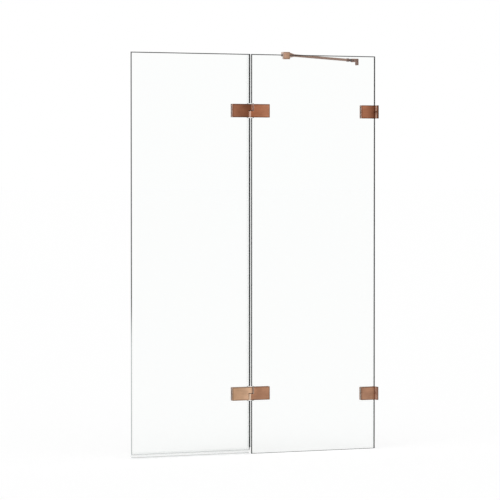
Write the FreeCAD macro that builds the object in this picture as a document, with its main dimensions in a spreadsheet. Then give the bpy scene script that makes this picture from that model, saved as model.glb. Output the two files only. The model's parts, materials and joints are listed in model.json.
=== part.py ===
import FreeCAD, Part
import math
import os
import re
import Sketcher
from FreeCAD import Placement, Rotation, Vector

# A two-part glass bath screen: a fixed pane on wall brackets, and a door hinged to its free edge.
# X runs along the glass towards the brackets, Y from the dry side to the wet side, Z up.
# The origin is the fixed pane's lower corner below the brackets, midway through the glass.

# Driving dimensions in millimetres
SIZES = {
    # Panes
    "screen_height": 1500,
    "fixed_glass_width": 513,
    "door_glass_width": 473,
    "glass_thickness": 6,
    "glass_arris": 0.8,
    "panel_gap": 8,
    "wall_gap": 6,
    "door_lift": 15,
    # Plates that clamp the glass, shared by the hinges and the wall brackets
    "plate_height": 50,
    "plate_thickness": 5,
    "plate_corner": 1.5,
    "plate_edge": 0.7,
    "gasket_thickness": 1,
    "gasket_inset": 1.5,
    "boss_radius": 6,
    "boss_clearance": 1,
    "boss_gap": 0.3,
    "screw_radius": 3,
    "screw_head_radius": 5.5,
    "screw_bite": 1,
    "screw_end_room": 0.5,
    "screw_socket_width": 4,
    "screw_socket_depth": 2,
    "fit_gap": 0.05,
    # Hinges between the panes
    "upper_hinge_drop": 212,
    "lower_hinge_height": 227,
    "hinge_reach": 76,
    "hinge_screw_pitch": 30,
    "knuckle_gap": 1.5,
    "notch_room": 2,
    "notch_corner": 3,
    "pin_radius": 4,
    "pin_chamfer": 0.6,
    "bush_wall": 1.5,
    "bush_flange": 1.2,
    "bush_flange_inset": 0.6,
    "running_gap": 0.05,
    "thrust_gap": 0.1,
    "cap_thickness": 3,
    "cap_edge": 0.5,
    # Wall brackets
    "upper_bracket_drop": 212,
    "lower_bracket_height": 212,
    "bracket_reach": 60,
    "bracket_screw_pitch": 28,
    "flange_width": 44,
    "flange_thickness": 8,
    "flange_slot_room": 2,
    "flange_seat_gap": 0.3,
    "wall_hole_radius": 2.75,
    "wall_hole_sink_radius": 5.25,
    "wall_hole_pitch": 31,
    # Glass clamp of the arm
    "clamp_from_edge": 373,
    "clamp_width": 28,
    "clamp_jaw": 8,
    "clamp_depth": 17,
    "clamp_rise": 10,
    "clamp_edge": 1.5,
    "lug_radius": 9,
    "liner_thickness": 1,
    "liner_inset": 1,
    "rear_jaw_width": 14,
    "rear_jaw_thickness": 5,
    "set_screw_radius": 2,
    "set_screw_socket_width": 2,
    "set_screw_socket_depth": 2,
    # Arm and its two pivots
    "arm_rise": 0.9,
    "arm_fall": 9.4,
    "arm_setback": 17,
    "tongue_radius": 7,
    "tongue_thickness": 5,
    "tongue_room": 1,
    "fork_gap": 0.5,
    "fork_cheek": 4,
    "pivot_radius": 2.5,
    "pivot_play": 0.15,
    "pivot_head_radius": 4.25,
    "clamp_pivot_head": 4,
    "foot_pivot_head": 2,
    "pivot_socket_width": 3,
    "pivot_socket_depth": 1.2,
    "glass_end_gap": 1.5,
    "glass_end_radius": 9,
    "glass_end_straight": 26,
    "glass_end_taper": 18,
    "rod_radius": 5,
    "rod_wall": 1.5,
    "rod_grip": 10,
    "rod_lip": 0.8,
    "wall_end_gap": 3,
    "wall_end_neck": 12,
    "wall_end_neck_radius": 5.2,
    "wall_end_radius": 6.6,
    "wall_end_straight": 10.5,
    "wall_end_taper": 1.5,
    # Forked wall foot of the arm
    "foot_setback": 170,
    "foot_reach": 20,
    "foot_fork_radius": 8,
    "foot_fork_height": 13,
    "foot_plate_width": 23,
    "foot_plate_height": 25,
    "foot_plate_thickness": 4,
    "foot_plate_corner": 3,
    "foot_hole_radius": 2.25,
    "foot_hole_sink_radius": 4.25,
    "foot_hole_pitch": 12,
    "foot_hole_rise": 5.2,
    # Clear seals on the door
    "seal_wall": 1,
    "seal_grip": 10,
    "seal_end_gap": 1,
    "bulb_radius": 3.6,
    "bulb_wall": 0.9,
    "wiper_grip": 8,
    "wiper_clearance": 3,
    "wiper_thickness": 1.4,
    "wiper_setback": 2,
    "drip_rail_reach": 5,
}

# Formulas that several pieces share
HALF_GLASS = "(glass_thickness / 2)"
FACE = "(glass_thickness / 2 + gasket_thickness)"
OUTSIDE = f"({FACE} + plate_thickness)"
HALF_PLATE = "(plate_height / 2)"
HALF_GASKET = f"({HALF_PLATE} + notch_room - notch_corner)"
HALF_GAP = "(panel_gap / 2)"
AXIS_X = f"(-fixed_glass_width - {HALF_GAP})"
BOSS_HOLE = "(boss_radius + boss_clearance)"

LEAF_NEAR = f"({OUTSIDE} + knuckle_gap)"
LEAF_MIDDLE = f"(({LEAF_NEAR} + hinge_reach) / 2)"
UPPER_HINGE = "(screen_height - upper_hinge_drop)"
UPPER_BRACKET = "(screen_height - upper_bracket_drop)"
NOTCH_REACH = f"({LEAF_NEAR} + notch_room)"
NOTCH_HALF = f"({HALF_PLATE} + notch_room)"
BUSH_RADIUS = "(pin_radius + running_gap + bush_wall)"
BORE_RADIUS = f"({BUSH_RADIUS} + fit_gap)"
HALF_THRUST = "(thrust_gap / 2)"

FLANGE_FACE = "(wall_gap - flange_thickness)"
BRACKET_MIDDLE = f"(({FLANGE_FACE} - bracket_reach) / 2)"

CLAMP_SLOT = f"({HALF_GLASS} + liner_thickness)"
CLAMP_FRONT = f"({CLAMP_SLOT} + clamp_jaw)"
HALF_CLAMP = "(clamp_width / 2)"
SLOT_HALF = "(tongue_thickness / 2 + fork_gap)"
LUG_BOTTOM = f"(arm_rise - {SLOT_HALF} - fork_cheek)"
REAR_JAW_BACK = f"({CLAMP_SLOT} + rear_jaw_thickness)"
ARM_HEIGHT = "(screen_height + arm_rise)"
FOOT_HEIGHT = f"({ARM_HEIGHT} - arm_fall)"
FOOT_X = "(wall_gap - foot_reach)"
ARM_RUN = f"({FOOT_X} + clamp_from_edge)"
ARM_OFFSET = "(foot_setback - arm_setback)"
ARM_REACH = f"sqrt({ARM_RUN} ^ 2 + {ARM_OFFSET} ^ 2)"
ARM_LENGTH = f"sqrt({ARM_REACH} ^ 2 + arm_fall ^ 2)"
ARM_HEADING = f"atan2({ARM_OFFSET}; {ARM_RUN})"
ARM_SLOPE = f"atan2(arm_fall; {ARM_REACH})"

UPRIGHT = Vector(0, 0, 1)
HALF_TURN_ABOUT_Y = Rotation(Vector(0, 1, 0), 180)
HEAD_TO_WET_SIDE = Rotation(Vector(1, 0, 0), -90)
HEXAGON_SIDES = 6
SAME_PLACE = 1e-5

doc = FreeCAD.newDocument("BathScreen")
sheet = doc.addObject("Spreadsheet::Sheet", "Sizes")
for row, (name, size) in enumerate(SIZES.items(), start=1):
    sheet.set(f"A{row}", name)
    sheet.set(f"B{row}", str(size))
    sheet.setAlias(f"B{row}", name)
doc.recompute()

nodes = []
cuts = []


# Formulas and bindings
def formula(text):
    """Point every size that a formula names at its cell."""

    def cell(word):
        return f"Sizes.{word[0]}" if word[0] in SIZES else word[0]

    return re.sub(r"[a-z_]+", cell, text)


def bind(thing, target, text):
    thing.setExpression(target, formula(text))


def value(text):
    found = sheet.evalExpression(formula(text))
    return getattr(found, "Value", found)


# Bodies and sketches
def new_body(label, x="0", y="0", z="0", turn=Rotation()):
    body = doc.addObject("PartDesign::Body", label)
    body.Label = label
    body.Placement = Placement(Vector(), turn)
    for target, text in (("x", x), ("y", y), ("z", z)):
        bind(body, f"Placement.Base.{target}", text)
    nodes.append(body)
    return body


def new_sketch(body, plane, lift="0"):
    sketch = body.newObject("Sketcher::SketchObject", "Outline")
    support = next(item for item in body.Origin.OriginFeatures if item.Role == plane)
    sketch.AttachmentSupport = [(support, "")]
    sketch.MapMode = "FlatFace"
    bind(sketch, "AttachmentOffset.Base.z", lift)
    return sketch


def hold(sketch, kind, text, *points):
    """Add one dimension to a sketch and bind it."""
    number = sketch.addConstraint(Sketcher.Constraint(kind, *points, value(text)))
    sketch.renameConstraint(number, f"size{number}")
    bind(sketch, f"Constraints.size{number}", text)


def hold_point(sketch, edge, point, x, y):
    hold(sketch, "DistanceX", x, -1, 1, edge, point)
    hold(sketch, "DistanceY", y, -1, 1, edge, point)


def outline(sketch, corners):
    """Close an outline through corners (x, y).

    A corner (x, y, centre x, centre y) starts an arc that turns anticlockwise to the next one.
    """
    first = sketch.GeometryCount
    spots = [Vector(value(corner[0]), value(corner[1]), 0) for corner in corners]
    for start, end, corner in zip(spots, spots[1:] + spots[:1], corners):
        edge = Part.LineSegment(start, end)
        if len(corner) > 2:
            centre = Vector(value(corner[2]), value(corner[3]), 0)
            turns = [math.atan2(spot.y - centre.y, spot.x - centre.x) for spot in (start, end)]
            edge = Part.ArcOfCircle(Part.Circle(centre, UPRIGHT, (start - centre).Length), *turns)
        sketch.addGeometry(edge)
    for number, corner in enumerate(corners):
        edge = first + number
        following = first + (number + 1) % len(corners)
        sketch.addConstraint(Sketcher.Constraint("Coincident", edge, 2, following, 1))
        hold_point(sketch, edge, 1, corner[0], corner[1])
        if len(corner) > 2:
            chord = spots[(number + 1) % len(corners)] - spots[number]
            kind, text = ("DistanceY", corner[3]) if abs(chord.x) > abs(chord.y) else ("DistanceX", corner[2])
            hold(sketch, kind, text, -1, 1, edge, 3)


def oblong(sketch, left, low, right, high):
    outline(sketch, [(left, low), (right, low), (right, high), (left, high)])


def ring(sketch, x, y, radius):
    circle = Part.Circle(Vector(value(x), value(y), 0), UPRIGHT, value(radius))
    number = sketch.addGeometry(circle)
    hold_point(sketch, number, 3, x, y)
    hold(sketch, "Radius", radius, number)


def hexagon(sketch, x, y, width):
    """A socket outline with two flat sides, width across them."""
    corners = []
    for side in range(HEXAGON_SIDES):
        turn = f"({side} * 360 deg / {HEXAGON_SIDES})"
        arm = f"({width} / sqrt(3))"
        corners.append((f"{x} + {arm} * cos({turn})", f"{y} + {arm} * sin({turn})"))
    outline(sketch, corners)


# Features
def pad(body, sketch, length, side="One side", backwards=False):
    feature = body.newObject("PartDesign::Pad", "Pad")
    feature.Profile = sketch
    feature.SideType = side
    feature.Reversed = backwards
    bind(feature, "Length", length)
    doc.recompute()


def cut(body, sketch, depth=None, backwards=False):
    """Cut right through both ways, or to a depth against the sketch's own direction."""
    feature = body.newObject("PartDesign::Pocket", "Pocket")
    feature.Profile = sketch
    feature.Reversed = backwards
    if depth is None:
        feature.Type = "ThroughAll"
        feature.SideType = "Symmetric"
    else:
        bind(feature, "Length", depth)
    doc.recompute()
    cuts.append(feature)


def revolve(body, sketch, axis):
    feature = body.newObject("PartDesign::Revolution", "Revolution")
    feature.Profile = sketch
    feature.ReferenceAxis = (sketch, [axis])
    feature.Angle = 360
    doc.recompute()


def soften(body, kind, size, chosen):
    """Fillet or chamfer the edges that a test picks."""
    base = body.Tip
    edges = [f"Edge{n}" for n, edge in enumerate(base.Shape.Edges, start=1) if chosen(edge)]
    feature = body.newObject(f"PartDesign::{kind}", kind)
    feature.Base = (base, edges)
    bind(feature, "Radius" if kind == "Fillet" else "Size", size)
    doc.recompute()


def lies_at(edge, axis, *levels):
    """Whether all of an edge's ends share one of the given levels along an axis."""
    place = "xyz".index(axis)
    ends = [vertex.Point[place] for vertex in edge.Vertexes]
    return any(all(abs(end - value(level)) < SAME_PLACE for end in ends) for level in levels)


def runs_along(edge, axis):
    """Whether an edge is a straight one along an axis."""
    if not isinstance(edge.Curve, Part.Line):
        return False
    return abs(abs(edge.Curve.Direction["xyz".index(axis)]) - 1) < SAME_PLACE


def is_round(edge, radius):
    return isinstance(edge.Curve, Part.Circle) and abs(edge.Curve.Radius - value(radius)) < SAME_PLACE


# Glass panes
def notch(edge_x, bottom_x, height):
    """Corners of an edge notch for a hinge knuckle, from its lower end up."""
    low = f"{height} - {NOTCH_HALF}"
    high = f"{height} + {NOTCH_HALF}"
    return [(edge_x, low), (bottom_x, low), (bottom_x, high), (edge_x, high)]


def pane(label, corners, notch_x, holes):
    body = new_body(label)
    face = new_sketch(body, "XZ_Plane")
    outline(face, corners)
    pad(body, face, "glass_thickness", side="Symmetric")
    soften(
        body,
        "Fillet",
        "notch_corner",
        lambda edge: runs_along(edge, "y") and lies_at(edge, "x", notch_x),
    )
    soften(
        body,
        "Chamfer",
        "glass_arris",
        lambda edge: lies_at(edge, "y", HALF_GLASS, f"-{HALF_GLASS}"),
    )
    drilled = new_sketch(body, "XZ_Plane")
    for x, z in holes:
        ring(drilled, x, z, BOSS_HOLE)
    cut(body, drilled)


def screw_places(middle, pitch):
    return [f"{middle} - {pitch} / 2", f"{middle} + {pitch} / 2"]


def fixed_pane():
    free_edge = "-fixed_glass_width"
    notch_x = f"{AXIS_X} + {NOTCH_REACH}"
    corners = [(free_edge, "0")]
    for height in ("lower_hinge_height", UPPER_HINGE):
        corners += notch(free_edge, notch_x, height)
    corners += [(free_edge, "screen_height"), ("0", "screen_height"), ("0", "0")]
    holes = []
    for height in ("lower_hinge_height", UPPER_HINGE):
        for place in screw_places(LEAF_MIDDLE, "hinge_screw_pitch"):
            holes.append((f"{AXIS_X} + {place}", height))
    for height in ("lower_bracket_height", UPPER_BRACKET):
        for place in screw_places(BRACKET_MIDDLE, "bracket_screw_pitch"):
            holes.append((place, height))
    pane("fixed_glass", corners, notch_x, holes)


def door_pane():
    hinge_edge = f"{AXIS_X} - {HALF_GAP}"
    free_edge = f"{hinge_edge} - door_glass_width"
    notch_x = f"{AXIS_X} - {NOTCH_REACH}"
    corners = [(hinge_edge, "door_lift")]
    for height in ("lower_hinge_height", UPPER_HINGE):
        corners += notch(hinge_edge, notch_x, height)
    corners += [(hinge_edge, "screen_height"), (free_edge, "screen_height"), (free_edge, "door_lift")]
    holes = []
    for height in ("lower_hinge_height", UPPER_HINGE):
        for place in screw_places(LEAF_MIDDLE, "hinge_screw_pitch"):
            holes.append((f"{AXIS_X} - ({place})", height))
    pane("door_glass", corners, notch_x, holes)


# Pieces that clamp the glass, on the hinges and on the wall brackets
def plate_outline(body, near, far, lift):
    face = new_sketch(body, "XZ_Plane", lift)
    oblong(face, near, f"-{HALF_PLATE}", far, HALF_PLATE)
    return face


def soften_plate(body, corner_x, face_y):
    """Round a plate's corners, then take the sharpness off its outer face."""
    soften(
        body,
        "Fillet",
        "plate_corner",
        lambda edge: runs_along(edge, "y") and lies_at(edge, "x", *corner_x),
    )
    soften(body, "Fillet", "plate_edge", lambda edge: lies_at(edge, "y", face_y))


def add_bosses(body, places):
    """Threaded bosses that pass through the glass from the outer plate."""
    base = new_sketch(body, "XZ_Plane", FACE)
    for place in places:
        ring(base, place, "0", "boss_radius")
    pad(body, base, f"2 * {FACE} - boss_gap", backwards=True)
    threads = new_sketch(body, "XZ_Plane", f"boss_gap - {FACE}")
    for place in places:
        ring(threads, place, "0", "screw_radius")
    cut(body, threads, f"2 * {FACE} - boss_gap + screw_bite + screw_end_room", backwards=True)


def back_plate(label, near, far, places, **place):
    """The plate on the wet side, countersunk for its two screws."""
    body = new_body(label, **place)
    pad(body, plate_outline(body, near, far, f"-{OUTSIDE}"), "plate_thickness")
    soften_plate(body, (near, far), OUTSIDE)
    holes = new_sketch(body, "XZ_Plane")
    for spot in places:
        ring(holes, spot, "0", "screw_radius + fit_gap")
    cut(body, holes)
    soften(
        body,
        "Chamfer",
        "screw_head_radius - screw_radius",
        lambda edge: is_round(edge, "screw_radius + fit_gap") and lies_at(edge, "y", OUTSIDE),
    )


def gasket(label, edge_x, bridge_x, far, places, **place):
    """A soft U that wraps the glass edge between the two plates."""
    body = new_body(label, **place)
    section = new_sketch(body, "XY_Plane")
    outline(
        section,
        [
            (bridge_x, f"-{FACE}"),
            (far, f"-{FACE}"),
            (far, f"-{HALF_GLASS}"),
            (edge_x, f"-{HALF_GLASS}"),
            (edge_x, HALF_GLASS),
            (far, HALF_GLASS),
            (far, FACE),
            (bridge_x, FACE),
        ],
    )
    pad(body, section, f"2 * {HALF_GASKET}", side="Symmetric")
    holes = new_sketch(body, "XZ_Plane")
    for spot in places:
        ring(holes, spot, "0", BOSS_HOLE)
    cut(body, holes)


def clamp_screws(label, x, z, pitch):
    """Two countersunk screws driven from the wet side, the first at x."""
    body = new_body(label, x=x, y=OUTSIDE, z=z, turn=HEAD_TO_WET_SIDE)
    section = new_sketch(body, "XZ_Plane")
    shank = "(screw_radius - fit_gap)"
    head = "(screw_head_radius - fit_gap)"
    tip = f"(-{OUTSIDE} - {FACE} - screw_bite)"
    outline(section, [("0", tip), (shank, tip), (shank, f"{shank} - {head}"), (head, "0"), ("0", "0")])
    revolve(body, section, "V_Axis")
    socket = new_sketch(body, "XY_Plane")
    hexagon(socket, "0", "0", "screw_socket_width")
    cut(body, socket, "screw_socket_depth")
    pair = body.newObject("PartDesign::LinearPattern", "Pair")
    pair.Originals = [body.Group[1], body.Group[3]]
    pair.Direction = (next(item for item in body.Origin.OriginFeatures if item.Role == "X_Axis"), [""])
    pair.Occurrences = 2
    bind(pair, "Length", pitch)
    body.Tip = pair
    doc.recompute()


# Hinges
def hinge_leaf(label, **place):
    """Outer plate with half of the knuckle, rolled flush with the plate's outer face."""
    body = new_body(label, **place)
    pad(body, plate_outline(body, LEAF_NEAR, "hinge_reach", FACE), "plate_thickness")
    soften_plate(body, (LEAF_NEAR, "hinge_reach"), f"-{OUTSIDE}")
    section = new_sketch(body, "XY_Plane", f"-{HALF_PLATE}")
    web_end = f"{LEAF_NEAR} + plate_corner + plate_edge"
    outline(
        section,
        [
            ("0", f"-{OUTSIDE}"),
            (web_end, f"-{OUTSIDE}"),
            (web_end, f"-{FACE}"),
            (f"sqrt({OUTSIDE} ^ 2 - {FACE} ^ 2)", f"-{FACE}", "0", "0"),
        ],
    )
    pad(body, section, f"{HALF_PLATE} - bush_flange - {HALF_THRUST}")
    add_bosses(body, screw_places(LEAF_MIDDLE, "hinge_screw_pitch"))
    bore = new_sketch(body, "XY_Plane")
    ring(bore, "0", "0", BORE_RADIUS)
    cut(body, bore)


def hinge_bush(label, **place):
    """Flanged bush in the lower half of a knuckle."""
    body = new_body(label, **place)
    section = new_sketch(body, "XZ_Plane")
    inner = "pin_radius + running_gap"
    rim = f"{OUTSIDE} - bush_flange_inset"
    foot = f"cap_thickness + fit_gap - {HALF_PLATE}"
    shoulder = f"-{HALF_THRUST} - bush_flange"
    outline(
        section,
        [
            (inner, foot),
            (BUSH_RADIUS, foot),
            (BUSH_RADIUS, shoulder),
            (rim, shoulder),
            (rim, f"-{HALF_THRUST}"),
            (inner, f"-{HALF_THRUST}"),
        ],
    )
    revolve(body, section, "V_Axis")


def hinge_pin(label, **place):
    body = new_body(label, **place)
    section = new_sketch(body, "XZ_Plane")
    end = f"({HALF_PLATE} - cap_thickness - fit_gap)"
    outline(
        section,
        [
            ("0", f"-{end}"),
            ("pin_radius - pin_chamfer", f"-{end}"),
            ("pin_radius", f"pin_chamfer - {end}"),
            ("pin_radius", f"{end} - pin_chamfer"),
            ("pin_radius - pin_chamfer", end),
            ("0", end),
        ],
    )
    revolve(body, section, "V_Axis")


def hinge_cap(label, **place):
    """Plug that closes the lower end of a knuckle."""
    body = new_body(label, **place)
    section = new_sketch(body, "XZ_Plane")
    outline(
        section,
        [
            ("0", f"-{HALF_PLATE}"),
            (f"{BUSH_RADIUS} - cap_edge", f"-{HALF_PLATE}"),
            (BUSH_RADIUS, f"cap_edge - {HALF_PLATE}"),
            (BUSH_RADIUS, f"cap_thickness - {HALF_PLATE}"),
            ("0", f"cap_thickness - {HALF_PLATE}"),
        ],
    )
    revolve(body, section, "V_Axis")


def hinge(prefix, height):
    """Both leaves are the same casting: the door's is turned upside down about the glass normal."""
    places = screw_places(LEAF_MIDDLE, "hinge_screw_pitch")
    for side, turn in (("fixed", Rotation()), ("door", HALF_TURN_ABOUT_Y)):
        spot = {"x": AXIS_X, "z": height, "turn": turn}
        hinge_leaf(f"{prefix}_hinge_{side}_leaf", **spot)
        back_plate(f"{prefix}_hinge_{side}_back_plate", LEAF_NEAR, "hinge_reach", places, **spot)
        gasket(
            f"{prefix}_hinge_{side}_gasket",
            NOTCH_REACH,
            f"{NOTCH_REACH} - gasket_thickness",
            "hinge_reach - gasket_inset",
            places,
            **spot,
        )
        hinge_bush(f"{prefix}_hinge_{side}_bush", **spot)
        hinge_cap(f"{prefix}_hinge_{side}_cap", **spot)
    clamp_screws(f"{prefix}_hinge_fixed_screws", f"{AXIS_X} + {places[0]}", height, "hinge_screw_pitch")
    clamp_screws(f"{prefix}_hinge_door_screws", f"{AXIS_X} - ({places[1]})", height, "hinge_screw_pitch")
    hinge_pin(f"{prefix}_hinge_pin", x=AXIS_X, z=height)


# Wall brackets
def bracket_casting(label, height):
    """Wall flange with a slot for the glass edge, and the outer jaw in one piece."""
    body = new_body(label, z=height)
    section = new_sketch(body, "XY_Plane")
    half_flange = "(flange_width / 2)"
    outline(
        section,
        [
            ("wall_gap", f"-{half_flange}"),
            ("wall_gap", half_flange),
            (FLANGE_FACE, half_flange),
            (FLANGE_FACE, FACE),
            ("flange_slot_room", FACE),
            ("flange_slot_room", f"-{FACE}"),
            ("-bracket_reach", f"-{FACE}"),
            ("-bracket_reach", f"-{OUTSIDE}"),
            (FLANGE_FACE, f"-{OUTSIDE}"),
            (FLANGE_FACE, f"-{half_flange}"),
        ],
    )
    pad(body, section, "plate_height", side="Symmetric")
    soften(
        body,
        "Fillet",
        "plate_corner",
        lambda edge: runs_along(edge, "y") and lies_at(edge, "x", "-bracket_reach"),
    )
    soften(
        body,
        "Fillet",
        "plate_edge",
        lambda edge: lies_at(edge, "y", f"-{OUTSIDE}") and not lies_at(edge, "x", FLANGE_FACE),
    )
    add_bosses(body, screw_places(BRACKET_MIDDLE, "bracket_screw_pitch"))
    holes = new_sketch(body, "YZ_Plane")
    for place in screw_places("0", "wall_hole_pitch"):
        ring(holes, place, "0", "wall_hole_radius")
    cut(body, holes)
    soften(
        body,
        "Chamfer",
        "wall_hole_sink_radius - wall_hole_radius",
        lambda edge: is_round(edge, "wall_hole_radius") and lies_at(edge, "x", FLANGE_FACE),
    )


def wall_bracket(prefix, height):
    places = screw_places(BRACKET_MIDDLE, "bracket_screw_pitch")
    bracket_casting(f"{prefix}_wall_bracket", height)
    near = f"{FLANGE_FACE} - flange_seat_gap"
    back_plate(f"{prefix}_bracket_back_plate", "-bracket_reach", near, places, z=height)
    far = "gasket_inset - bracket_reach"
    gasket(f"{prefix}_bracket_gasket", "0", "gasket_thickness", far, places, z=height)
    clamp_screws(f"{prefix}_bracket_screws", places[0], height, "bracket_screw_pitch")


# Arm from the top of the fixed pane to its wall foot
def arm_clamp():
    """Saddle over the top edge, with a round forked lug behind the glass for the arm."""
    body = new_body("arm_clamp", x="-clamp_from_edge", z="screen_height")
    plan = new_sketch(body, "XY_Plane", "-clamp_depth")
    outline(
        plan,
        [
            (f"-{HALF_CLAMP}", f"-{CLAMP_FRONT}"),
            (HALF_CLAMP, f"-{CLAMP_FRONT}"),
            (HALF_CLAMP, REAR_JAW_BACK),
            ("lug_radius", REAR_JAW_BACK),
            ("lug_radius", "arm_setback", "0", "arm_setback"),
            ("-lug_radius", "arm_setback"),
            ("-lug_radius", REAR_JAW_BACK),
            (f"-{HALF_CLAMP}", REAR_JAW_BACK),
        ],
    )
    pad(body, plan, "clamp_depth + clamp_rise")
    soften(
        body,
        "Fillet",
        "clamp_edge",
        lambda edge: lies_at(edge, "z", "clamp_rise") or lies_at(edge, "y", f"-{CLAMP_FRONT}"),
    )
    behind = "arm_setback + lug_radius"
    side = new_sketch(body, "YZ_Plane")
    oblong(side, f"-{CLAMP_SLOT}", "-clamp_depth", CLAMP_SLOT, "liner_thickness")
    cut(body, side)
    undercut = new_sketch(body, "YZ_Plane")
    oblong(undercut, REAR_JAW_BACK, "-clamp_depth", behind, LUG_BOTTOM)
    cut(body, undercut)
    fork = new_sketch(body, "YZ_Plane")
    floor = "arm_setback - tongue_radius - tongue_room"
    oblong(fork, floor, f"arm_rise - {SLOT_HALF}", behind, f"arm_rise + {SLOT_HALF}")
    cut(body, fork)
    flanks = new_sketch(body, "XY_Plane", LUG_BOTTOM)
    half_jaw = "(rear_jaw_width / 2)"
    oblong(flanks, f"-{HALF_CLAMP}", CLAMP_SLOT, f"-{half_jaw}", REAR_JAW_BACK)
    oblong(flanks, half_jaw, CLAMP_SLOT, HALF_CLAMP, REAR_JAW_BACK)
    cut(body, flanks, f"clamp_depth + {LUG_BOTTOM}")
    pivot = new_sketch(body, "XY_Plane")
    ring(pivot, "0", "arm_setback", "pivot_radius + fit_gap")
    cut(body, pivot)
    head = new_sketch(body, "XY_Plane", "clamp_rise")
    ring(head, "0", "arm_setback", "pivot_head_radius + fit_gap")
    cut(body, head, "clamp_pivot_head")
    thread = new_sketch(body, "XZ_Plane", f"-{CLAMP_SLOT}")
    ring(thread, "0", f"({LUG_BOTTOM} - clamp_depth) / 2", "set_screw_radius")
    cut(body, thread, "rear_jaw_thickness")


def arm_clamp_liner():
    body = new_body("arm_clamp_liner", x="-clamp_from_edge", z="screen_height")
    section = new_sketch(body, "YZ_Plane")
    foot = "liner_inset - clamp_depth"
    outline(
        section,
        [
            (f"-{CLAMP_SLOT}", foot),
            (f"-{HALF_GLASS}", foot),
            (f"-{HALF_GLASS}", "0"),
            (HALF_GLASS, "0"),
            (HALF_GLASS, foot),
            (CLAMP_SLOT, foot),
            (CLAMP_SLOT, "liner_thickness"),
            (f"-{CLAMP_SLOT}", "liner_thickness"),
        ],
    )
    pad(body, section, "rear_jaw_width", side="Symmetric")


def arm_set_screw():
    """Grub screw in the rear jaw that grips the glass through the liner."""
    height = f"screen_height + ({LUG_BOTTOM} - clamp_depth) / 2"
    body = new_body(
        "arm_clamp_set_screw",
        x="-clamp_from_edge",
        y=REAR_JAW_BACK,
        z=height,
        turn=HEAD_TO_WET_SIDE,
    )
    plan = new_sketch(body, "XY_Plane")
    ring(plan, "0", "0", "set_screw_radius - fit_gap")
    pad(body, plan, "rear_jaw_thickness", backwards=True)
    socket = new_sketch(body, "XY_Plane")
    hexagon(socket, "0", "0", "set_screw_socket_width")
    cut(body, socket, "set_screw_socket_depth")


def pivot_screw(label, top, bottom, head_height, **place):
    body = new_body(label, **place)
    section = new_sketch(body, "XZ_Plane")
    under_head = f"{top} - {head_height}"
    outline(
        section,
        [
            ("0", bottom),
            ("pivot_radius", bottom),
            ("pivot_radius", under_head),
            ("pivot_head_radius", under_head),
            ("pivot_head_radius", top),
            ("0", top),
        ],
    )
    revolve(body, section, "V_Axis")
    socket = new_sketch(body, "XY_Plane", top)
    hexagon(socket, "0", "0", "pivot_socket_width")
    cut(body, socket, "pivot_socket_depth")


def laid_along(body, heading, slope):
    """Turn a body's own X axis to a heading in plan and a slope downwards."""
    bind(body, "Placement.Rotation", f"create(<<rotation>>; {heading}; {slope}; 0 deg)")


def rod_end(body, start, straight, taper, radius, neck="0", neck_radius=None):
    """Turned end piece: a flat tongue with a pivot hole, a shoulder, and a socket for the rod.

    A neck, where there is one, keeps the shoulder clear of the fork.
    """
    section = new_sketch(body, "XY_Plane")
    shoulder = f"{start} + {neck}"
    taper_start = f"{shoulder} + {straight}"
    mouth = f"{taper_start} + {taper}"
    socket = "rod_radius + fit_gap"
    corners = [
        (start, "0"),
        (f"{mouth} - rod_grip", "0"),
        (f"{mouth} - rod_grip", socket),
        (mouth, socket),
        (mouth, "rod_radius + rod_lip"),
        (taper_start, radius),
        (shoulder, radius),
    ]
    if neck_radius:
        corners += [(shoulder, neck_radius), (start, neck_radius)]
    outline(section, corners)
    revolve(body, section, "H_Axis")
    tongue = new_sketch(body, "XY_Plane")
    root = f"{start} + tongue_thickness"
    width = f"min(tongue_radius; sqrt({neck_radius or radius} ^ 2 - (tongue_thickness / 2) ^ 2))"
    outline(
        tongue,
        [
            (root, f"-{width}"),
            (root, width),
            ("0", width, "0", "0"),
            ("0", f"-{width}"),
        ],
    )
    pad(body, tongue, "tongue_thickness", side="Symmetric")
    pivot = new_sketch(body, "XY_Plane")
    ring(pivot, "0", "0", "pivot_radius + pivot_play")
    cut(body, pivot)


def arm():
    glass_pivot = {"x": "-clamp_from_edge", "y": "arm_setback", "z": ARM_HEIGHT}
    foot_pivot = {"x": FOOT_X, "y": "foot_setback", "z": FOOT_HEIGHT}
    glass_start = "(lug_radius + glass_end_gap)"
    wall_start = "(foot_fork_radius + wall_end_gap)"

    glass_end = new_body("arm_glass_end", **glass_pivot)
    laid_along(glass_end, ARM_HEADING, ARM_SLOPE)
    rod_end(glass_end, glass_start, "glass_end_straight", "glass_end_taper", "glass_end_radius")

    wall_end = new_body("arm_wall_end", **foot_pivot)
    laid_along(wall_end, f"180 deg + {ARM_HEADING}", f"-{ARM_SLOPE}")
    rod_end(
        wall_end,
        wall_start,
        "wall_end_straight",
        "wall_end_taper",
        "wall_end_radius",
        "wall_end_neck",
        "wall_end_neck_radius",
    )

    rod = new_body("arm_rod", **glass_pivot)
    laid_along(rod, ARM_HEADING, ARM_SLOPE)
    start = f"{glass_start} + glass_end_straight + glass_end_taper - rod_grip + fit_gap"
    wall_mouth = f"({wall_start} + wall_end_neck + wall_end_straight + wall_end_taper)"
    finish = f"{ARM_LENGTH} - {wall_mouth} + rod_grip - fit_gap"
    section = new_sketch(rod, "YZ_Plane", start)
    ring(section, "0", "0", "rod_radius")
    ring(section, "0", "0", "rod_radius - rod_wall")
    pad(rod, section, f"{finish} - ({start})")

    top = "clamp_rise - arm_rise"
    bottom = f"{LUG_BOTTOM} - arm_rise"
    pivot_screw("arm_pivot_screw", top, bottom, "clamp_pivot_head", **glass_pivot)
    half_fork = "foot_fork_height / 2"
    pivot_screw("arm_foot_screw", half_fork, f"-{half_fork}", "foot_pivot_head", **foot_pivot)


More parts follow.
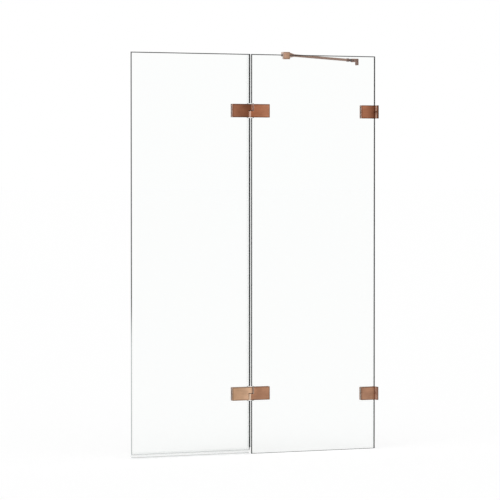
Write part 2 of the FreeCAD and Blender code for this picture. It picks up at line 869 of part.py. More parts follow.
def arm_wall_foot():
    """Wall plate with a fork for the arm's tongue in its upper part."""
    body = new_body("arm_wall_foot", x=FOOT_X, y="foot_setback", z=FOOT_HEIGHT)
    half_fork = "(foot_fork_height / 2)"
    plate_face = "foot_reach - foot_plate_thickness"
    half_plate = "(foot_plate_width / 2)"
    plate_low = f"({half_fork} - foot_plate_height)"
    plate = new_sketch(body, "YZ_Plane", plate_face)
    oblong(plate, f"-{half_plate}", plate_low, half_plate, half_fork)
    pad(body, plate, "foot_plate_thickness")
    soften(body, "Fillet", "foot_plate_corner", lambda edge: runs_along(edge, "x"))
    soften(body, "Fillet", "plate_edge", lambda edge: lies_at(edge, "x", plate_face))
    block = new_sketch(body, "XY_Plane")
    outline(
        block,
        [
            ("0", "-foot_fork_radius"),
            (f"{plate_face} + plate_edge", "-foot_fork_radius"),
            (f"{plate_face} + plate_edge", "foot_fork_radius"),
            ("0", "foot_fork_radius", "0", "0"),
        ],
    )
    pad(body, block, "foot_fork_height", side="Symmetric")
    slot = new_sketch(body, "XZ_Plane")
    oblong(slot, "-foot_fork_radius", f"-{SLOT_HALF}", "tongue_radius + tongue_room", SLOT_HALF)
    cut(body, slot)
    pivot = new_sketch(body, "XY_Plane")
    ring(pivot, "0", "0", "pivot_radius + fit_gap")
    cut(body, pivot)
    head = new_sketch(body, "XY_Plane", half_fork)
    ring(head, "0", "0", "pivot_head_radius + fit_gap")
    cut(body, head, "foot_pivot_head")
    holes = new_sketch(body, "YZ_Plane", "foot_reach")
    for place in screw_places("0", "foot_hole_pitch"):
        ring(holes, place, f"{plate_low} + foot_hole_rise", "foot_hole_radius")
    cut(body, holes, "foot_plate_thickness")
    soften(
        body,
        "Chamfer",
        "foot_hole_sink_radius - foot_hole_radius",
        lambda edge: is_round(edge, "foot_hole_radius") and lies_at(edge, "x", plate_face),
    )


# Clear seals on the door
def seam_seal(label, low, high):
    """U on the door's hinge edge, with a hollow bulb about the hinge axis that closes the seam."""
    body = new_body(label, x=AXIS_X, z=low)
    length = f"{high} - ({low})"
    section = new_sketch(body, "XY_Plane")
    back = f"-{HALF_GAP} - seal_grip"
    edge = f"-{HALF_GAP}"
    leg = f"({HALF_GLASS} + seal_wall)"
    outline(
        section,
        [
            (back, f"-{leg}"),
            (edge, f"-{leg}"),
            (f"seal_wall - {HALF_GAP}", f"-{HALF_GLASS}"),
            (f"seal_wall - {HALF_GAP}", HALF_GLASS),
            (edge, leg),
            (back, leg),
            (back, HALF_GLASS),
            (edge, HALF_GLASS),
            (edge, f"-{HALF_GLASS}"),
            (back, f"-{HALF_GLASS}"),
        ],
    )
    pad(body, section, length)
    bulb = new_sketch(body, "XY_Plane")
    ring(bulb, "0", "0", "bulb_radius")
    ring(bulb, "0", "0", "bulb_radius - bulb_wall")
    pad(body, bulb, length)


def seam_seals():
    bottom = "door_lift + wiper_grip + seal_end_gap"
    room = f"({NOTCH_HALF} + seal_end_gap)"
    seam_seal("lower_seam_seal", bottom, f"lower_hinge_height - {room}")
    seam_seal("middle_seam_seal", f"lower_hinge_height + {room}", f"{UPPER_HINGE} - {room}")
    seam_seal("upper_seam_seal", f"{UPPER_HINGE} + {room}", "screen_height")


def bottom_wiper():
    """U on the door's bottom edge with a hanging wiper and a drip rail on the wet side."""
    hinge_edge = f"{AXIS_X} - {HALF_GAP}"
    body = new_body("door_bottom_seal", x=f"{hinge_edge} - door_glass_width", z="door_lift")
    section = new_sketch(body, "YZ_Plane")
    leg = f"({HALF_GLASS} + seal_wall)"
    half_wiper = "(wiper_thickness / 2)"
    tip = "wiper_clearance - door_lift"
    outline(
        section,
        [
            (f"-{leg}", "-seal_wall"),
            (f"-{half_wiper}", "-seal_wall"),
            (f"-{half_wiper}", tip),
            (half_wiper, tip),
            (half_wiper, "-seal_wall"),
            (HALF_GLASS, "-seal_wall"),
            (f"{HALF_GLASS} + drip_rail_reach", "-seal_wall - drip_rail_reach"),
            (f"{leg} + drip_rail_reach", "-seal_wall - drip_rail_reach"),
            (leg, "-seal_wall"),
            (leg, "wiper_grip"),
            (HALF_GLASS, "wiper_grip"),
            (HALF_GLASS, "0"),
            (f"-{HALF_GLASS}", "0"),
            (f"-{HALF_GLASS}", "wiper_grip"),
            (f"-{leg}", "wiper_grip"),
        ],
    )
    pad(body, section, "door_glass_width - wiper_setback")


# The whole screen
fixed_pane()
door_pane()
hinge("upper", UPPER_HINGE)
hinge("lower", "lower_hinge_height")
wall_bracket("upper", UPPER_BRACKET)
wall_bracket("lower", "lower_bracket_height")
arm_clamp()
arm_clamp_liner()
arm_set_screw()
arm()
arm_wall_foot()
seam_seals()
bottom_wiper()

# Nothing is written unless every feature built and every cut took something away
doc.recompute()
for item in doc.Objects:
    if "Invalid" in item.State or "Error" in item.State:
        raise RuntimeError(f"{item.Label} failed: {item.State}")
for feature in cuts:
    if feature.Shape.Volume >= feature.BaseFeature.Shape.Volume:
        raise RuntimeError(f"{feature.Label} in {feature.getParent().Label} cuts nothing")
for node in nodes:
    if node.Shape.isNull() or not node.Shape.isValid():
        raise RuntimeError(f"{node.Label} has no valid shape")

os.makedirs("parts", exist_ok=True)
for node in nodes:
    node.Shape.exportStep(f"parts/{node.Label}.step")
    print(f"{node.Label}: {len(node.Shape.Solids)} solid, {node.Shape.Volume:.0f} mm3")
print(f"{len(nodes)} nodes")
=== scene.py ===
# %% [markdown]
# # A frameless glass bath screen
#
# Two panes of clear glass, one fixed and one that swings, held together and held up by plain
# copper-plated fittings. The solids already have the real outlines, so this lesson is about finishes:
# how brushed copper, clear glass and clear vinyl are made from a few nodes each, and how a white studio
# is set up so that clear things still show.

# %% Load the solids
import json
import math

import bmesh
import bpy
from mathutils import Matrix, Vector


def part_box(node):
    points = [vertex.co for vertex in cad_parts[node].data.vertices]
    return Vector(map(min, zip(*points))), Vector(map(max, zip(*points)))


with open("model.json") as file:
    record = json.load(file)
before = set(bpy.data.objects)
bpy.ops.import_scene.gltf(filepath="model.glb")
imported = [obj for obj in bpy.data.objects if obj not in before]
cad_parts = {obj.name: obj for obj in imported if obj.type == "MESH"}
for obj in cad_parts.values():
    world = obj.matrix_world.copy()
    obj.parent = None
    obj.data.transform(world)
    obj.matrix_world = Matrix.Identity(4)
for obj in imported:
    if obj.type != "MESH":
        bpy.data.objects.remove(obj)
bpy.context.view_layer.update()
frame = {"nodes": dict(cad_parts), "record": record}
nodes = frame["nodes"]

# %% [markdown]
# ## Sums with sockets
#
# A finish is a small sum: so much of one tone, darkened near an edge, roughened along a scratch. Written
# with nodes by hand it takes a dozen lines. This class wraps one output socket so that the sum can be
# written as a sum, and its one method adds any other node.


# %% A socket that can be added and multiplied
class Wire:
    """One output socket of a node tree. Without a socket it only adds nodes."""

    def __init__(self, tree, socket=None):
        self.tree = tree
        self.socket = socket

    def node(self, kind, settings=None, sockets=None, output=0):
        """Add a node: first its settings, then the values or wires of its sockets."""
        made = self.tree.nodes.new(kind)
        for name, setting in (settings or {}).items():
            setattr(made, name, setting)
        for name, value in (sockets or {}).items():
            if isinstance(value, Wire):
                self.tree.links.new(value.socket, made.inputs[name])
            else:
                made.inputs[name].default_value = value
        return Wire(self.tree, made.outputs[output] if made.outputs else None)

    def maths(self, operation, first, second=0.0):
        return self.node("ShaderNodeMath", {"operation": operation}, {0: first, 1: second})

    def __add__(self, other):
        return self.maths("ADD", self, other)

    def __radd__(self, other):
        return self.maths("ADD", other, self)

    def __sub__(self, other):
        return self.maths("SUBTRACT", self, other)

    def __rsub__(self, other):
        return self.maths("SUBTRACT", other, self)

    def __mul__(self, other):
        return self.maths("MULTIPLY", self, other)

    def __rmul__(self, other):
        return self.maths("MULTIPLY", other, self)

    def __abs__(self):
        return self.maths("ABSOLUTE", self)


print("Wire adds, subtracts and multiplies sockets")


# %% Starting a finish
def new_finish(name):
    """An empty material, and a Wire that adds nodes to it."""
    material = bpy.data.materials.new(name)
    material.use_nodes = True
    material.node_tree.nodes.clear()
    return material, Wire(material.node_tree)


def show(start, shader):
    start.node("ShaderNodeOutputMaterial", sockets={"Surface": shader})


print("finishes start empty")

# %% [markdown]
# ## Colours
#
# A tone is easiest to choose as it looks on a screen, from 0 to 255, but a shader counts light. Screens
# follow one standard curve, with a straight foot for the darkest levels, so a short formula turns the one
# into the other. Colours are mixed with a Mix node and scaled with Vector Math, because a Math node would
# turn them grey. The Mix node keeps the sockets of all its kinds in one list, and these are the places of
# the four that colours use.

# %% Colours
SCREEN_LEVELS = 255
FOOT_END = 0.04045
FOOT_SLOPE = 12.92
CURVE_LIFT = 0.055
CURVE_POWER = 2.4
MIX_SHARE, MIX_FIRST, MIX_SECOND, MIX_RESULT = 0, 6, 7, 2
WHITE = (1.0, 1.0, 1.0, 1.0)


def light_of(level):
    share = level / SCREEN_LEVELS
    if share <= FOOT_END:
        return share / FOOT_SLOPE
    return ((share + CURVE_LIFT) / (1 + CURVE_LIFT)) ** CURVE_POWER


def linear(red, green, blue):
    """A colour read off a screen, from 0 to 255, as the light it stands for."""
    return (light_of(red), light_of(green), light_of(blue), 1.0)


def mix_colours(start, share, first, second):
    """The first colour where the share is 0, the second where it is 1."""
    return start.node(
        "ShaderNodeMix",
        {"data_type": "RGBA"},
        {MIX_SHARE: share, MIX_FIRST: first, MIX_SECOND: second},
        output=MIX_RESULT,
    )


def scale_colour(start, colour, factor):
    """A colour made lighter or darker by a wire."""
    return start.node("ShaderNodeVectorMath", {"operation": "SCALE"}, {0: colour, "Scale": factor})


print("middle grey of a screen gives", round(light_of(SCREEN_LEVELS / 2), 3), "of the light")

# %% [markdown]
# ## Places and directions
#
# Most finishes change with the place on a piece or with the way its surface faces: a rim follows an
# outline, and an edge faces neither front nor back. Each object sits at the origin with its place in its
# mesh, so Object coordinates are metres in the frame of the whole screen: X along the glass, Y through
# it and Z up. A soft step turns such a measure into a share from 0 to 1.


# %% Places and directions
def fade(start, value, low, high):
    """A soft step: 0 below the low level, 1 above the high one."""
    return start.node(
        "ShaderNodeMapRange",
        {"interpolation_type": "SMOOTHSTEP"},
        {"Value": value, "From Min": low, "From Max": high},
    )


def axes(start, vector):
    """The three parts of a vector, each as a wire."""
    split = start.node("ShaderNodeSeparateXYZ", sockets={"Vector": vector})
    return [Wire(start.tree, socket) for socket in split.socket.node.outputs]


def inside(start, place, low, high):
    """How far a spot on an upright sheet lies inside the outline of a box."""
    across, _, upward = axes(start, place)
    middle = (low + high) / 2
    half = (high - low) / 2
    from_side = half.x - abs(across - middle.x)
    from_end = half.z - abs(upward - middle.z)
    return start.maths("MINIMUM", from_side, from_end)


def facing(start, axis, low, high):
    """1 where a surface faces along an axis, either way, 0 where it faces across it."""
    normal = start.node("ShaderNodeTexCoord", output="Normal")
    return fade(start, abs(axes(start, normal)["XYZ".index(axis)]), low, high)


print("soft steps ready")

# %% [markdown]
# ## Lines and speckles
#
# Every real surface here has a fine texture from its making: brushed lines, die lines, a matt speckle.
# All are one noise texture, which a Mapping node squeezes across the lines. A Bump node lets the same
# noise tilt the surface a little, so that the texture also shows in reflections.

# %% Noise and bump
FINE_DETAIL = 4.0


def stretched_noise(start, place, squeeze, detail=FINE_DETAIL):
    """Noise on object coordinates, with features one over squeeze metres long each way."""
    mapped = start.node("ShaderNodeMapping", sockets={"Vector": place, "Scale": squeeze})
    return start.node("ShaderNodeTexNoise", sockets={"Vector": mapped, "Scale": 1.0, "Detail": detail})


def bumped(start, height, strength, depth):
    """The tilt of a surface that follows a height, with a depth in metres."""
    return start.node(
        "ShaderNodeBump",
        sockets={"Strength": strength, "Distance": depth, "Height": height},
    )


print("noise and bump ready")

# %% [markdown]
# ## Brushed copper
#
# The fittings are brass castings, brushed and then plated in a rose-brown copper with a satin sheen. The
# grain runs level, along each piece and round its flanks. A noise texture squeezed in height gives such
# long thin scratches, and a slow cloud of a second noise keeps large faces from looking printed. Along a
# plate's outline a soft dark rim of painted shade lies on the faces, from the distance to the outline of
# the plate's own box. Painted light and shade also change from one end of a casting to the other, so a
# plate can mix two tones along its length. What turns to the side, such as the round of a knuckle, gets a
# painted highlight in a tone of its own and is more satin than mirror. The arm's neck, between its collar
# and the foot's fork, gets painted shade.

# %% Copper
GRAIN_LENGTH = 0.04
GRAIN_WIDTH = 0.0004
GRAIN_SHARE = 0.6
CLOUD_SIZE = 0.03
CLOUD_DETAIL = 2.0
NOISE_LEVELS = (0.3, 0.7)
BRUSHED = 0.48
BRUSH_STRENGTH = 0.12
BRUSH_DEPTH = 0.0002
SATIN_ROUGHNESS = 0.26
GRAIN_ROUGHNESS = 0.16
SATIN_SHARE = 0.8
FLAT_FACE = (0.8, 0.95)
# Width and depth of the rim of painted shade along a plate's outline.
RIM_SHADE_WIDTH = 0.005
RIM_SHADE_DEPTH = 0.68
# Depth of the painted shade on the arm's neck.
NECK_SHADE_DEPTH = 0.8


def copper(name, tones, shade_blend=None, sideways_highlight=None, outline=None, brushing=BRUSHED, painted_shade=None):
    """Brushed copper.

    From one end of the given stretch to the other, in metres along the glass, the first tone becomes the
    second:
    painted light and shade along the piece. Two functions give, at a place, the share of the third tone, a
    painted highlight, and the share of painted shade. An outline gets a dark rim of painted shade, and the
    grain is as deep as the brushing.
    """
    material, start = new_finish(name)
    place = start.node("ShaderNodeTexCoord", output="Object")
    along, across = 1 / GRAIN_LENGTH, 1 / GRAIN_WIDTH
    grain = stretched_noise(start, place, (along, along, across))
    cloud = stretched_noise(start, place, (1 / CLOUD_SIZE,) * 3, detail=CLOUD_DETAIL)
    uneven = fade(start, grain * GRAIN_SHARE + cloud * (1 - GRAIN_SHARE), *NOISE_LEVELS)
    light = 1 - brushing / 2 + brushing * uneven
    colour = tones[0][:3]
    metal = 1.0
    # The first two tones paint light and shade from one end of the piece to the other.
    if shade_blend:
        colour = mix_colours(start, fade(start, axes(start, place)[0], *shade_blend), tones[0], tones[1])
    # The third tone is a painted highlight where the surface turns to the side.
    if sideways_highlight:
        share = sideways_highlight(start, place)
        colour = mix_colours(start, share, colour, tones[2])
        metal = 1 - SATIN_SHARE * share
    # A soft dark rim of painted shade along the outline.
    if outline:
        rim = 1 - fade(start, inside(start, place, *outline), 0.0, RIM_SHADE_WIDTH)
        light = light * (1 - RIM_SHADE_DEPTH * rim * facing(start, "Y", *FLAT_FACE))
    # Painted shade on the arm's neck.
    if painted_shade:
        light = light * (1 - NECK_SHADE_DEPTH * painted_shade(start, place))
    satin = start.node(
        "ShaderNodeBsdfPrincipled",
        sockets={
            "Base Color": scale_colour(start, colour, light),
            "Metallic": metal,
            "Roughness": SATIN_ROUGHNESS + GRAIN_ROUGHNESS * grain,
            "Normal": bumped(start, grain, BRUSH_STRENGTH, BRUSH_DEPTH),
        },
    )
    show(start, satin)
    return material


print("copper: grain", GRAIN_LENGTH, "by", GRAIN_WIDTH, "m")

# %% [markdown]
# ## Which copper goes where
#
# Each visible casting gets its own tones, which paint the light and shade that fall on it: one for its
# left end, one for its right end, and a painted highlight for what turns to the side. A leaf or clamp
# blends the first two over its whole length, so that the plate is painted lighter or darker towards one
# end, and a bracket over the stretch given here, which ends at the edge of the glass, where the corner
# with the flange is painted darker. The arm, its wall end and its foot have one tone each, and the rest
# share one.

# %% Tones of the fittings
# Left end, right end and side tones of each casting: they paint the light and shade it catches, and the
# third is a painted highlight.
TONES = {
    "upper_hinge_door_leaf": ((150, 99, 75), (104, 61, 41), (184, 128, 104)),
    "upper_hinge_fixed_leaf": ((153, 95, 68), (170, 115, 88), (214, 174, 154)),
    "lower_hinge_door_leaf": ((180, 143, 114), (208, 170, 140), (176, 136, 108)),
    "lower_hinge_fixed_leaf": ((164, 120, 94), (167, 124, 98), (222, 196, 172)),
    "upper_wall_bracket": ((164, 108, 81), (112, 70, 51), (226, 190, 168)),
    "lower_wall_bracket": ((164, 123, 99), (147, 109, 92), (208, 170, 150)),
    "arm_clamp": ((188, 151, 129), (168, 134, 110), (204, 176, 160)),
}
# Stretches along the glass over which a bracket's tones change; the darker end is painted shade at the
# flange.
SHADE_BLENDS = {"upper_wall_bracket": (-0.045, -0.004), "lower_wall_bracket": (-0.008, 0.0)}
PLAIN_TONE = linear(165, 118, 92)
ARM_TONE = linear(135, 102, 85)
COLLAR_TONE = linear(92, 60, 45)
FOOT_TONE = linear(123, 86, 68)
print(f"own tones for {len(TONES)} castings")

# %% [markdown]
# ## Outlines and the arm's line
#
# A hinge has two leaves, but closed it reads as one plate. Both leaves take the outline of the whole
# hinge, so the rim of painted shade runs round the closed hinge and not along the knuckle. The arm lies at
# a
# slant: the record gives the places of its two pivots, and what lies along the arm is measured on the line
# between them.

# %% Outlines and the arm's line
record = frame["record"]
slot_of = {part["node"]: part["material_slot"] for part in record["subparts"]}
pivots = {joint["name"]: Vector(joint["pos_m"]) for joint in record["behaviour"]["joints"]}
foot_pivot = pivots["wall_foot_swivel"]
arm_reach = foot_pivot - pivots["arm_swivel"]
arm_line = arm_reach.normalized()


def outline_of(name):
    """The corners of a plate's outline; a hinge leaf has that of the whole closed hinge."""
    hinge = name.partition("_hinge_")[0]
    if name.endswith("_leaf"):
        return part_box(f"{hinge}_hinge_door_leaf")[0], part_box(f"{hinge}_hinge_fixed_leaf")[1]
    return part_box(name)


print(f"the arm is {arm_reach.length:.3f} m from pivot to pivot")

# %% [markdown]
# ## Flanks, flanges and the neck
#
# A knuckle is round and turns its flank to the side, and a bracket's flange stands square to the glass
# beyond its edge; both get a painted highlight. Both could be cut off as faces with a second material.
# Here they are found from the way the surface faces, which leaves the solids as they are and gives a soft
# change of tone. The neck gets painted shade, found by its distance from the foot's pivot along the arm.

# %% Flanks, flanges and the neck
# Where the painted highlight on knuckle flanks and bracket flanges lies, and where the neck's painted
# shade ends.
FLANK = (0.05, 0.3)
SQUARE_SIDE = (0.9, 0.98)
FLANGE_START = (-0.006, -0.004)
NECK_ENDS = (0.023, 0.0125)
SOFT_STEP = 0.0004


def flank_highlight(start, place):
    """A painted highlight on what turns to the side at all, such as a knuckle's flank."""
    return facing(start, "X", *FLANK)


def flange(start, place):
    """A painted highlight on the flat side of a bracket's flange, which stands square to the glass at its
    edge.
    """
    return facing(start, "X", *SQUARE_SIDE) * fade(start, axes(start, place)[0], *FLANGE_START)


def neck(start, place):
    """Painted shade between the collar of the arm's wall end and the foot's fork."""
    along = start.node(
        "ShaderNodeVectorMath", {"operation": "DOT_PRODUCT"}, {0: place, 1: arm_line}, output="Value"
    )
    from_collar, from_fork = (
        fade(start, along, end, end + SOFT_STEP)
        for end in (foot_pivot.dot(arm_line) - reach for reach in NECK_ENDS)
    )
    return from_collar - from_fork


print(f"neck {1000 * (NECK_ENDS[0] - NECK_ENDS[1]):.1f} mm long")

# %% [markdown]
# ## Dressing the fittings
#
# A solid takes its finish as its only material. Castings with their own tones get a material each, the
# back plates one with their own rim of painted shade, and the arm's pieces a shallow grain, because a
# drawn tube is smoother than a brushed casting.

# %% Dress the copper pieces
DRAWN = 0.16


def dress(name, material):
    nodes[name].data.materials.clear()
    nodes[name].data.materials.append(material)


plain_copper = copper("copper_plain", [PLAIN_TONE])
arm_copper = copper("copper_arm", [ARM_TONE], brushing=DRAWN)
special = {
    "arm_rod": arm_copper,
    "arm_glass_end": arm_copper,
    # The wall end's neck gets painted shade.
    "arm_wall_end": copper("copper_wall_end", [COLLAR_TONE], brushing=DRAWN, painted_shade=neck),
    "arm_wall_foot": copper("copper_wall_foot", [FOOT_TONE]),
}
coppered = [name for name, slot in slot_of.items() if slot == "copper"]
for name in coppered:
    if name in TONES:
        tones = [linear(*tone) for tone in TONES[name]]
        low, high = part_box(name)
        # The blend over the casting paints its light and shade from end to end.
        shade_blend = SHADE_BLENDS.get(name, (low.x, high.x))
        # A bracket's flange, or else what turns to the side, gets a painted highlight.
        sideways_highlight = flange if name in SHADE_BLENDS else flank_highlight
        dress(name, copper(f"copper_{name}", tones, shade_blend, sideways_highlight, outline_of(name)))
    elif name.endswith("back_plate"):
        # Back plates get the rim of painted shade along their outline.
        dress(name, copper(f"copper_{name}", [PLAIN_TONE], outline=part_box(name)))
    else:
        dress(name, special.get(name, plain_copper))
print(f"copper on {len(coppered)} pieces")

# %% [markdown]
# ## Clear glass
#
# Toughened glass 6 mm thick is clear through its faces, with a mirror sheen that grows as the view gets
# flatter, but its polished edges look dark: they show the inside of the sheet. Close to an edge the faces
# show that darkness too, as a thin line along the whole outline, and that line is what makes a clear pane
# readable. A refracting shader would be true for a lens; for a flat sheet in a white room it only adds
# noise. So the faces are a clear film with a sheen: four parts in a hundred seen straight on, and more by
# the fifth power of how flat the view is. A Fresnel node would do the same from outside, but on the far
# face, which is seen from inside, it turns a flat view into a full mirror. Toughening leaves a faint wave
# in the sheet, from the rollers under it, which bends what it mirrors.
#
# A dark grey-green takes over on the edges and, by the distance to the pane's own outline, in a line
# beside them. The door's lower edge sits in a seal that hides that line, so its outline is taken lower
# there, and low down on the door's free edge, where the edge shows the pale floor, the line is paler.

# %% Glass
FACE_TINT = (0.988, 0.993, 0.99, 1.0)
STRAIGHT_SHEEN = 0.04
SHEEN_POWER = 5.0
EVEN_BLEND = 0.5
MIRROR_ROUGHNESS = 0.02
ROLLER_WAVE = (2.0, 2.0, 6.0)
WAVE_STRENGTH = 0.2
WAVE_DEPTH = 0.0005
EDGE_DARK = linear(20, 24, 23)
EDGE_LIGHT = linear(50, 56, 54)
EDGE_PALE = linear(196, 200, 199)
EDGE_LINE = 0.002
EDGE_GLOSS = 0.15
EDGE_ROUGHNESS = 0.2
GROUND_LINES = (15.0, 900.0, 15.0)
GROUND_ROUGHNESS = 0.2
PALE_HEIGHTS = (0.4, 0.6)


def glass_face(start, place):
    """A clear film with a mirror sheen."""
    flat = start.node("ShaderNodeLayerWeight", sockets={"Blend": EVEN_BLEND}, output="Facing")
    sheen = STRAIGHT_SHEEN + (1 - STRAIGHT_SHEEN) * start.maths("POWER", flat, SHEEN_POWER)
    film = start.node("ShaderNodeBsdfTransparent", sockets={"Color": FACE_TINT})
    wave = stretched_noise(start, place, ROLLER_WAVE, detail=0.0)
    mirror = start.node(
        "ShaderNodeBsdfPrincipled",
        sockets={
            "Base Color": WHITE,
            "Metallic": 1.0,
            "Roughness": MIRROR_ROUGHNESS,
            "Normal": bumped(start, wave, WAVE_STRENGTH, WAVE_DEPTH),
        },
    )
    return start.node("ShaderNodeMixShader", sockets={0: sheen, 1: film, 2: mirror})


def glass_edge(start, place, free_edge):
    """A dark polished edge; low down beside a free edge, and in the seal below it, it is pale."""
    ground = stretched_noise(start, place, GROUND_LINES)
    colour = mix_colours(start, ground, EDGE_DARK, EDGE_LIGHT)
    if free_edge is not None:
        across, _, upward = axes(start, place)
        beside = 1 - fade(start, across, free_edge.x + EDGE_LINE, free_edge.x + 2 * EDGE_LINE)
        below = 1 - fade(start, upward, *PALE_HEIGHTS)
        sealed = 1 - fade(start, upward, free_edge.z + EDGE_LINE, free_edge.z + 2 * EDGE_LINE)
        colour = mix_colours(start, start.maths("MAXIMUM", beside * below, sealed), colour, EDGE_PALE)
    return start.node(
        "ShaderNodeBsdfPrincipled",
        sockets={
            "Base Color": colour,
            "Roughness": EDGE_ROUGHNESS + GROUND_ROUGHNESS * ground,
            "Specular IOR Level": EDGE_GLOSS,
        },
    )


def clear_glass(name, outline, free_edge=None):
    """Clear glass with dark edges, and a dark line along the outline."""
    material, start = new_finish(name)
    place = start.node("ShaderNodeTexCoord", output="Object")
    face = glass_face(start, place)
    edge = glass_edge(start, place, free_edge)
    line = 1 - fade(start, inside(start, place, *outline), 0.0, EDGE_LINE)
    dark = start.maths("MAXIMUM", line, 1 - facing(start, "Y", *FLAT_FACE))
    show(start, start.node("ShaderNodeMixShader", sockets={0: dark, 1: face, 2: edge}))
    return material


print(f"edge line {1000 * EDGE_LINE:.0f} mm wide")

# %% [markdown]
# ## A pane's lines
#
# The line's width differs a little from edge to edge, with how the edge is lit and what stands behind it.
# One width with a moved outline gives that: each pane's outline is drawn in at its low and its high
# corner by these amounts. The door's edge at the seam is drawn out instead, because the seal beside it
# carries on its darkness, and so is its lower edge, down into the seal there.

# %% Dress the panes
LEFT_LINE = Vector((0.0012, 0.0, 0.0))
FIXED_LINE = Vector((0.0016, 0.0, 0.0018))
DOOR_LINE = Vector((-0.001, 0.0, 0.0018))
SEAL_DEPTH = Vector((0.0, 0.0, 0.012))

low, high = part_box("fixed_glass")
dress("fixed_glass", clear_glass("glass_fixed", (low + LEFT_LINE, high - FIXED_LINE)))
door_low, door_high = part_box("door_glass")
door_outline = (door_low + LEFT_LINE - SEAL_DEPTH, door_high - DOOR_LINE)
dress("door_glass", clear_glass("glass_door", door_outline, free_edge=door_low))
print("glass on both panes")

# %% [markdown]
# ## Clear vinyl
#
# The seals are extruded soft vinyl: clear, with faint lines along their length from the die. Between two
# panes they almost vanish, and only where they are seen on edge do they show, the thin upright ones as a
# painted shade and the thick one under the door as a milky sheen. A film that turns to a second colour
# where it is seen on edge does it, with the die lines in its gloss. The side of the seam seal that grips
# the door's upright edge is painted with the darkness of that glass edge seen through it, and the seal's
# wiping edge under the door gets a painted shadow along its bottom.

# %% Vinyl
VINYL_FILM = (0.985, 0.988, 0.987, 1.0)
VINYL_BLEND = 0.3
VINYL_SHARE = 0.015
VINYL_ROUGHNESS = 0.22
DIE_ROUGHNESS = 0.2
# Share of the painted darkness of the glass edge on the seal that grips it.
GRIP_SHADE_SHARE = 0.95
GRIP_REACH = (0.001, 0.0014)
# Share of the painted shadow along the bottom of the seal under the door.
LIP_SHADOW_SHARE = 0.5


def clear_vinyl(name, along, on_edge, edge_share, grip_shade=None, lip_shadow=None):
    """Clear vinyl with die lines, a colour on edge, painted darkness beside the glass edge that it grips,
    and a painted shadow along its bottom.
    """
    material, start = new_finish(name)
    place = start.node("ShaderNodeTexCoord", output="Object")
    lines = stretched_noise(start, place, along)
    turned = start.node("ShaderNodeLayerWeight", sockets={"Blend": VINYL_BLEND}, output="Facing")
    film = start.node("ShaderNodeBsdfTransparent", sockets={"Color": VINYL_FILM})
    body = start.node(
        "ShaderNodeBsdfPrincipled",
        sockets={
            "Base Color": mix_colours(start, lines, *on_edge),
            "Roughness": VINYL_ROUGHNESS + DIE_ROUGHNESS * lines,
        },
    )
    share = VINYL_SHARE + edge_share * turned * turned
    across, _, upward = axes(start, place)
    # Painted darkness of the glass edge, seen through the seal beside it.
    if grip_shade:
        share = share + GRIP_SHADE_SHARE * (1 - fade(start, abs(across - grip_shade), *GRIP_REACH))
    # Painted shadow along the bottom of the seal under the door.
    if lip_shadow:
        share = share + LIP_SHADOW_SHARE * (1 - fade(start, upward, lip_shadow / 2, lip_shadow))
    show(start, start.node("ShaderNodeMixShader", sockets={0: share, 1: film, 2: body}))
    return material


print(f"vinyl shows {100 * VINYL_SHARE:.1f} parts in a hundred seen straight on")

# %% Dress the seals
UPRIGHT_LINES = (1200.0, 1200.0, 12.0)
UPRIGHT_SHADE = (linear(48, 52, 51), linear(76, 80, 79))
UPRIGHT_SHARE = 0.5
GRIP_SHIFT = 0.0011
LEVEL_LINES = (12.0, 1200.0, 1200.0)
LEVEL_MILK = (linear(176, 179, 178), linear(214, 216, 215))
LEVEL_SHARE = 0.3
# Height of the painted shadow along the bottom of the seal under the door.
LIP_HEIGHT = 0.007

upright_vinyl = clear_vinyl(
    "vinyl_upright", UPRIGHT_LINES, UPRIGHT_SHADE, UPRIGHT_SHARE, grip_shade=door_high.x + GRIP_SHIFT
)
level_vinyl = clear_vinyl("vinyl_level", LEVEL_LINES, LEVEL_MILK, LEVEL_SHARE, lip_shadow=LIP_HEIGHT)
for name in ("lower_seam_seal", "middle_seam_seal", "upper_seam_seal"):
    dress(name, upright_vinyl)
dress("door_bottom_seal", level_vinyl)
print("vinyl on the seals")

# %% [markdown]
# ## Gaskets, bushes and steel
#
# What is left is small: soft grey gaskets between metal and glass, black plastic bushes in the knuckles,
# and stainless screws and pins. Each is one colour with its own fine texture: a matt speckle on the
# soft parts, brushed lines on the steel.

# %% Small parts
SPECKLE_STRENGTH = 0.2
SPECKLE_DEPTH = 0.0001
SPECKLE_ROUGHNESS = 0.15
STEEL_LINES = (150.0, 1500.0, 3000.0)
STEEL_TONES = (linear(84, 84, 87), linear(182, 182, 184))
STEEL_ROUGHNESS = 0.25
LINE_ROUGHNESS = 0.2


def speckled(name, tones, roughness, size):
    material, start = new_finish(name)
    place = start.node("ShaderNodeTexCoord", output="Object")
    speckle = stretched_noise(start, place, (1 / size,) * 3)
    body = start.node(
        "ShaderNodeBsdfPrincipled",
        sockets={
            "Base Color": mix_colours(start, speckle, *tones),
            "Roughness": roughness + SPECKLE_ROUGHNESS * speckle,
            "Normal": bumped(start, speckle, SPECKLE_STRENGTH, SPECKLE_DEPTH),
        },
    )
    show(start, body)
    return material


def steel(name):
    material, start = new_finish(name)
    place = start.node("ShaderNodeTexCoord", output="Object")
    lines = stretched_noise(start, place, STEEL_LINES)
    body = start.node(
        "ShaderNodeBsdfPrincipled",
        sockets={
            "Base Color": mix_colours(start, lines, *STEEL_TONES),
            "Metallic": 1.0,
            "Roughness": STEEL_ROUGHNESS + LINE_ROUGHNESS * lines,
        },
    )
    show(start, body)
    return material


print("speckle and steel ready")

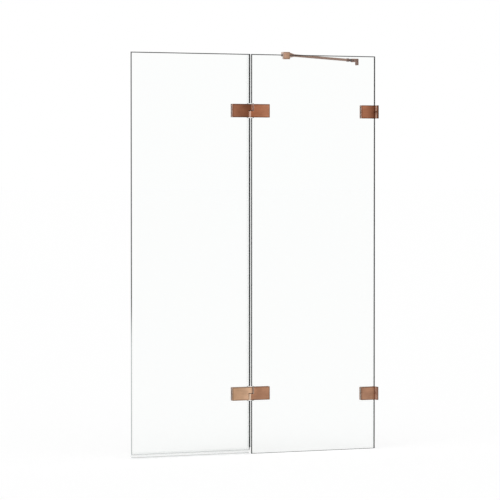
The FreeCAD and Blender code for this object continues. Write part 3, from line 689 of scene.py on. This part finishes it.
# %% Dress the small parts
GASKET_TONES = (linear(206, 206, 204), linear(228, 228, 226))
BUSH_TONES = (linear(30, 30, 31), linear(44, 44, 45))
SMALL_FINISHES = {
    "gasket": speckled("gasket_vinyl", GASKET_TONES, roughness=0.5, size=0.0006),
    "bush_plastic": speckled("bush_plastic", BUSH_TONES, roughness=0.4, size=0.0004),
    "steel": steel("steel"),
}
small_parts = [name for name, slot in slot_of.items() if slot in SMALL_FINISHES]
for name in small_parts:
    dress(name, SMALL_FINISHES[slot_of[name]])
print(f"{len(small_parts)} small parts dressed")

# %% [markdown]
# ## White studio
#
# Clear glass needs an even white room. The world is white to the camera, to reflections and to what is
# seen through glass, and gives a plainer light to matt surfaces. A Light Path node tells these rays apart.


# %% World
def seen_directly(start):
    """1 for rays that show the room itself: camera, reflection and see-through rays."""
    rays = start.node("ShaderNodeLightPath")
    outputs = rays.socket.node.outputs
    kinds = ("Is Camera Ray", "Is Glossy Ray", "Is Transmission Ray")
    camera, glossy, through = (Wire(start.tree, outputs[kind]) for kind in kinds)
    return start.maths("MAXIMUM", camera, start.maths("MAXIMUM", glossy, through))


ROOM_LIGHT = 0.66

scene = bpy.context.scene
scene.view_settings.view_transform = "Standard"
world = bpy.data.worlds.new("white_room")
scene.world = world
world.use_nodes = True
world.node_tree.nodes.clear()
air = Wire(world.node_tree)
strength = ROOM_LIGHT + (1 - ROOM_LIGHT) * seen_directly(air)
room = air.node("ShaderNodeBackground", sockets={"Color": WHITE, "Strength": strength})
air.node("ShaderNodeOutputWorld", sockets={"Surface": room})
print("white room, light", ROOM_LIGHT)

# %% [markdown]
# ## Sun and floor
#
# One soft sun adds direction. The floor is a pale sheet under the screen that keeps the shadow: it glows a
# little, to the same rays as the world, so that its lit part is as white as the background.

# %% Sun
SUN_STRENGTH = 0.9
SUN_SOFTNESS = math.radians(80)
SUN_TILT = math.radians(42)
SUN_LEAN = math.radians(-18)

sun = bpy.data.lights.new("soft_sun", "SUN")
sun.energy = SUN_STRENGTH
sun.angle = SUN_SOFTNESS
sun_object = bpy.data.objects.new("soft_sun", sun)
sun_object.rotation_euler = (SUN_TILT, SUN_LEAN, 0.0)
scene.collection.objects.link(sun_object)
print("sun", SUN_STRENGTH)

# %% Floor
FLOOR_SIZE = 200.0
FLOOR_GLOW = 0.22
PAPER = (0.9, 0.9, 0.9, 1.0)

sheet = bmesh.new()
bmesh.ops.create_grid(sheet, x_segments=1, y_segments=1, size=FLOOR_SIZE)
floor_mesh = bpy.data.meshes.new("floor")
sheet.to_mesh(floor_mesh)
sheet.free()
floor = bpy.data.objects.new("floor", floor_mesh)
scene.collection.objects.link(floor)
paper, start = new_finish("floor_paper")
matt = start.node("ShaderNodeBsdfDiffuse", sockets={"Color": PAPER})
glow = start.node(
    "ShaderNodeEmission",
    sockets={"Color": WHITE, "Strength": FLOOR_GLOW * seen_directly(start)},
)
show(start, start.node("ShaderNodeAddShader", sockets={0: matt, 1: glow}))
floor_mesh.materials.append(paper)
print("floor laid")

# %% [markdown]
# ## Camera
#
# The picture was taken from about chest height and far away with a long lens: upright edges stay upright
# and the rows of fittings converge only slightly. Shifting the frame of a level camera would keep the
# uprights exact, but so far away a tilt of a degree and a half moves them by less than half a pixel, and
# an unshifted frame stays centred when the camera is moved round the object.

# %% Camera
CAMERA_PLACE = (-4.3785, -9.1118, 1.038)
CAMERA_YAW = math.radians(-22.96)
CAMERA_TILT = math.radians(1.575)
LEVEL = math.radians(90)
LENS = 189.99
SENSOR_WIDTH = 36.0

view = bpy.data.cameras.new("camera")
view.lens = LENS
view.sensor_width = SENSOR_WIDTH
camera = bpy.data.objects.new("camera", view)
camera.location = CAMERA_PLACE
camera.rotation_euler = (LEVEL - CAMERA_TILT, 0.0, CAMERA_YAW)
scene.collection.objects.link(camera)
scene.camera = camera
print("camera at", CAMERA_PLACE)
